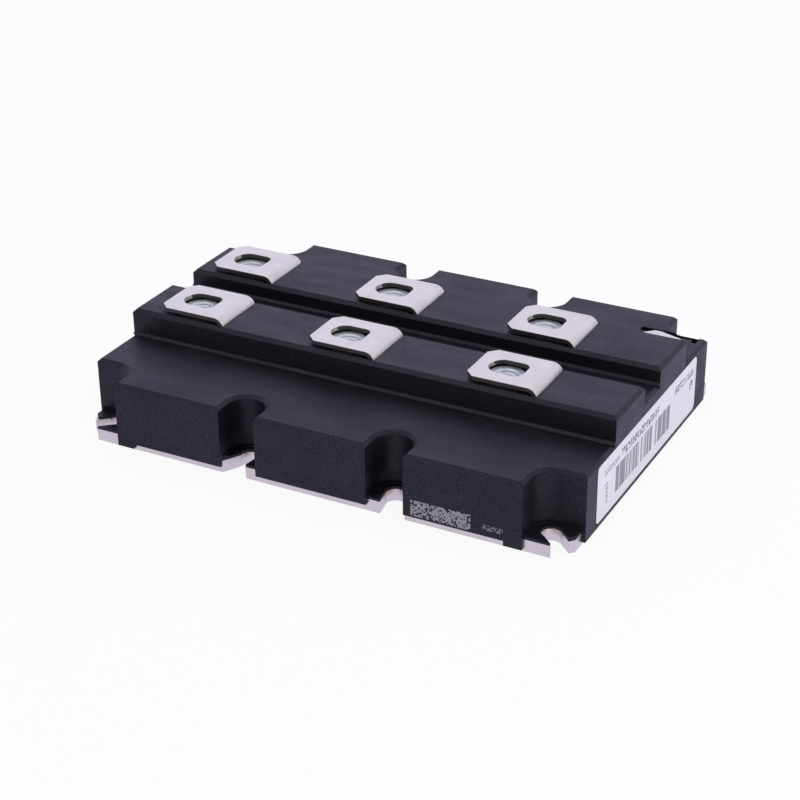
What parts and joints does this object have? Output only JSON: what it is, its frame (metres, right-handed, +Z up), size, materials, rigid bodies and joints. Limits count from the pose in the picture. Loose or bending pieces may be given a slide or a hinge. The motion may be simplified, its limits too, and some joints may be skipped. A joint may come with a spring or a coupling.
{
  "type": "igbt module",
  "caption": "Power semiconductor module: black moulded case with screw notches on a plated metal base, raised ridges with bent power straps over captive nuts, and small sense contacts.",
  "frame": {"origin": "centre of the base plate's footprint, on its underside", "axes": "+X along the case's length, towards the end with the label; +Z up, out of the contact faces; the end of Y with the small sense contacts is +Y"},
  "size_m": [0.19, 0.14, 0.038],
  "materials": {
    "nickel_plate": "satin nickel over copper",
    "case_moulding": "fine-grained moulded black plastic",
    "tinned_copper": "satin tin over copper strip",
    "zinc_plate": "bright zinc plate",
    "alumina": "matt white alumina",
    "bare_copper": "bare copper",
    "die": "aluminium-faced silicon",
    "bond_aluminium": "bright drawn wire",
    "board": "green solder mask on glass-fibre board",
    "pin_brass": "drawn brass",
    "silicone": "cured silicone gel",
    "label_film": "white satin polyester film"
  },
  "bodies": {
    "root": {"base_plate": "nickel_plate", "case_frame": "case_moulding", "case_cover": "case_moulding", "front_terminal_1": "tinned_copper", "front_terminal_2": "tinned_copper", "front_terminal_3": "tinned_copper", "rear_terminal_1": "tinned_copper", "rear_terminal_2": "tinned_copper", "rear_terminal_3": "tinned_copper", "front_nut_1": "zinc_plate", "front_nut_2": "zinc_plate", "front_nut_3": "zinc_plate", "rear_nut_1": "zinc_plate", "rear_nut_2": "zinc_plate", "rear_nut_3": "zinc_plate", "aux_terminal_1": "tinned_copper", "aux_terminal_2": "tinned_copper", "aux_terminal_3": "tinned_copper", "aux_nut_1": "zinc_plate", "aux_nut_2": "zinc_plate", "aux_nut_3": "zinc_plate", "substrate_1": "alumina", "substrate_2": "alumina", "substrate_3": "alumina", "substrate_4": "alumina", "substrate_5": "alumina", "substrate_6": "alumina", "copper_1": "bare_copper", "copper_2": "bare_copper", "copper_3": "bare_copper", "copper_4": "bare_copper", "copper_5": "bare_copper", "copper_6": "bare_copper", "chips_1": "die", "chips_2": "die", "chips_3": "die", "chips_4": "die", "chips_5": "die", "chips_6": "die", "wires_1": "bond_aluminium", "wires_2": "bond_aluminium", "wires_3": "bond_aluminium", "wires_4": "bond_aluminium", "wires_5": "bond_aluminium", "wires_6": "bond_aluminium", "front_gate_board": "board", "rear_gate_board": "board", "front_gate_pins": "pin_brass", "rear_gate_pins": "pin_brass", "gel": "silicone", "label": "label_film"}
  },
  "joints": []
}
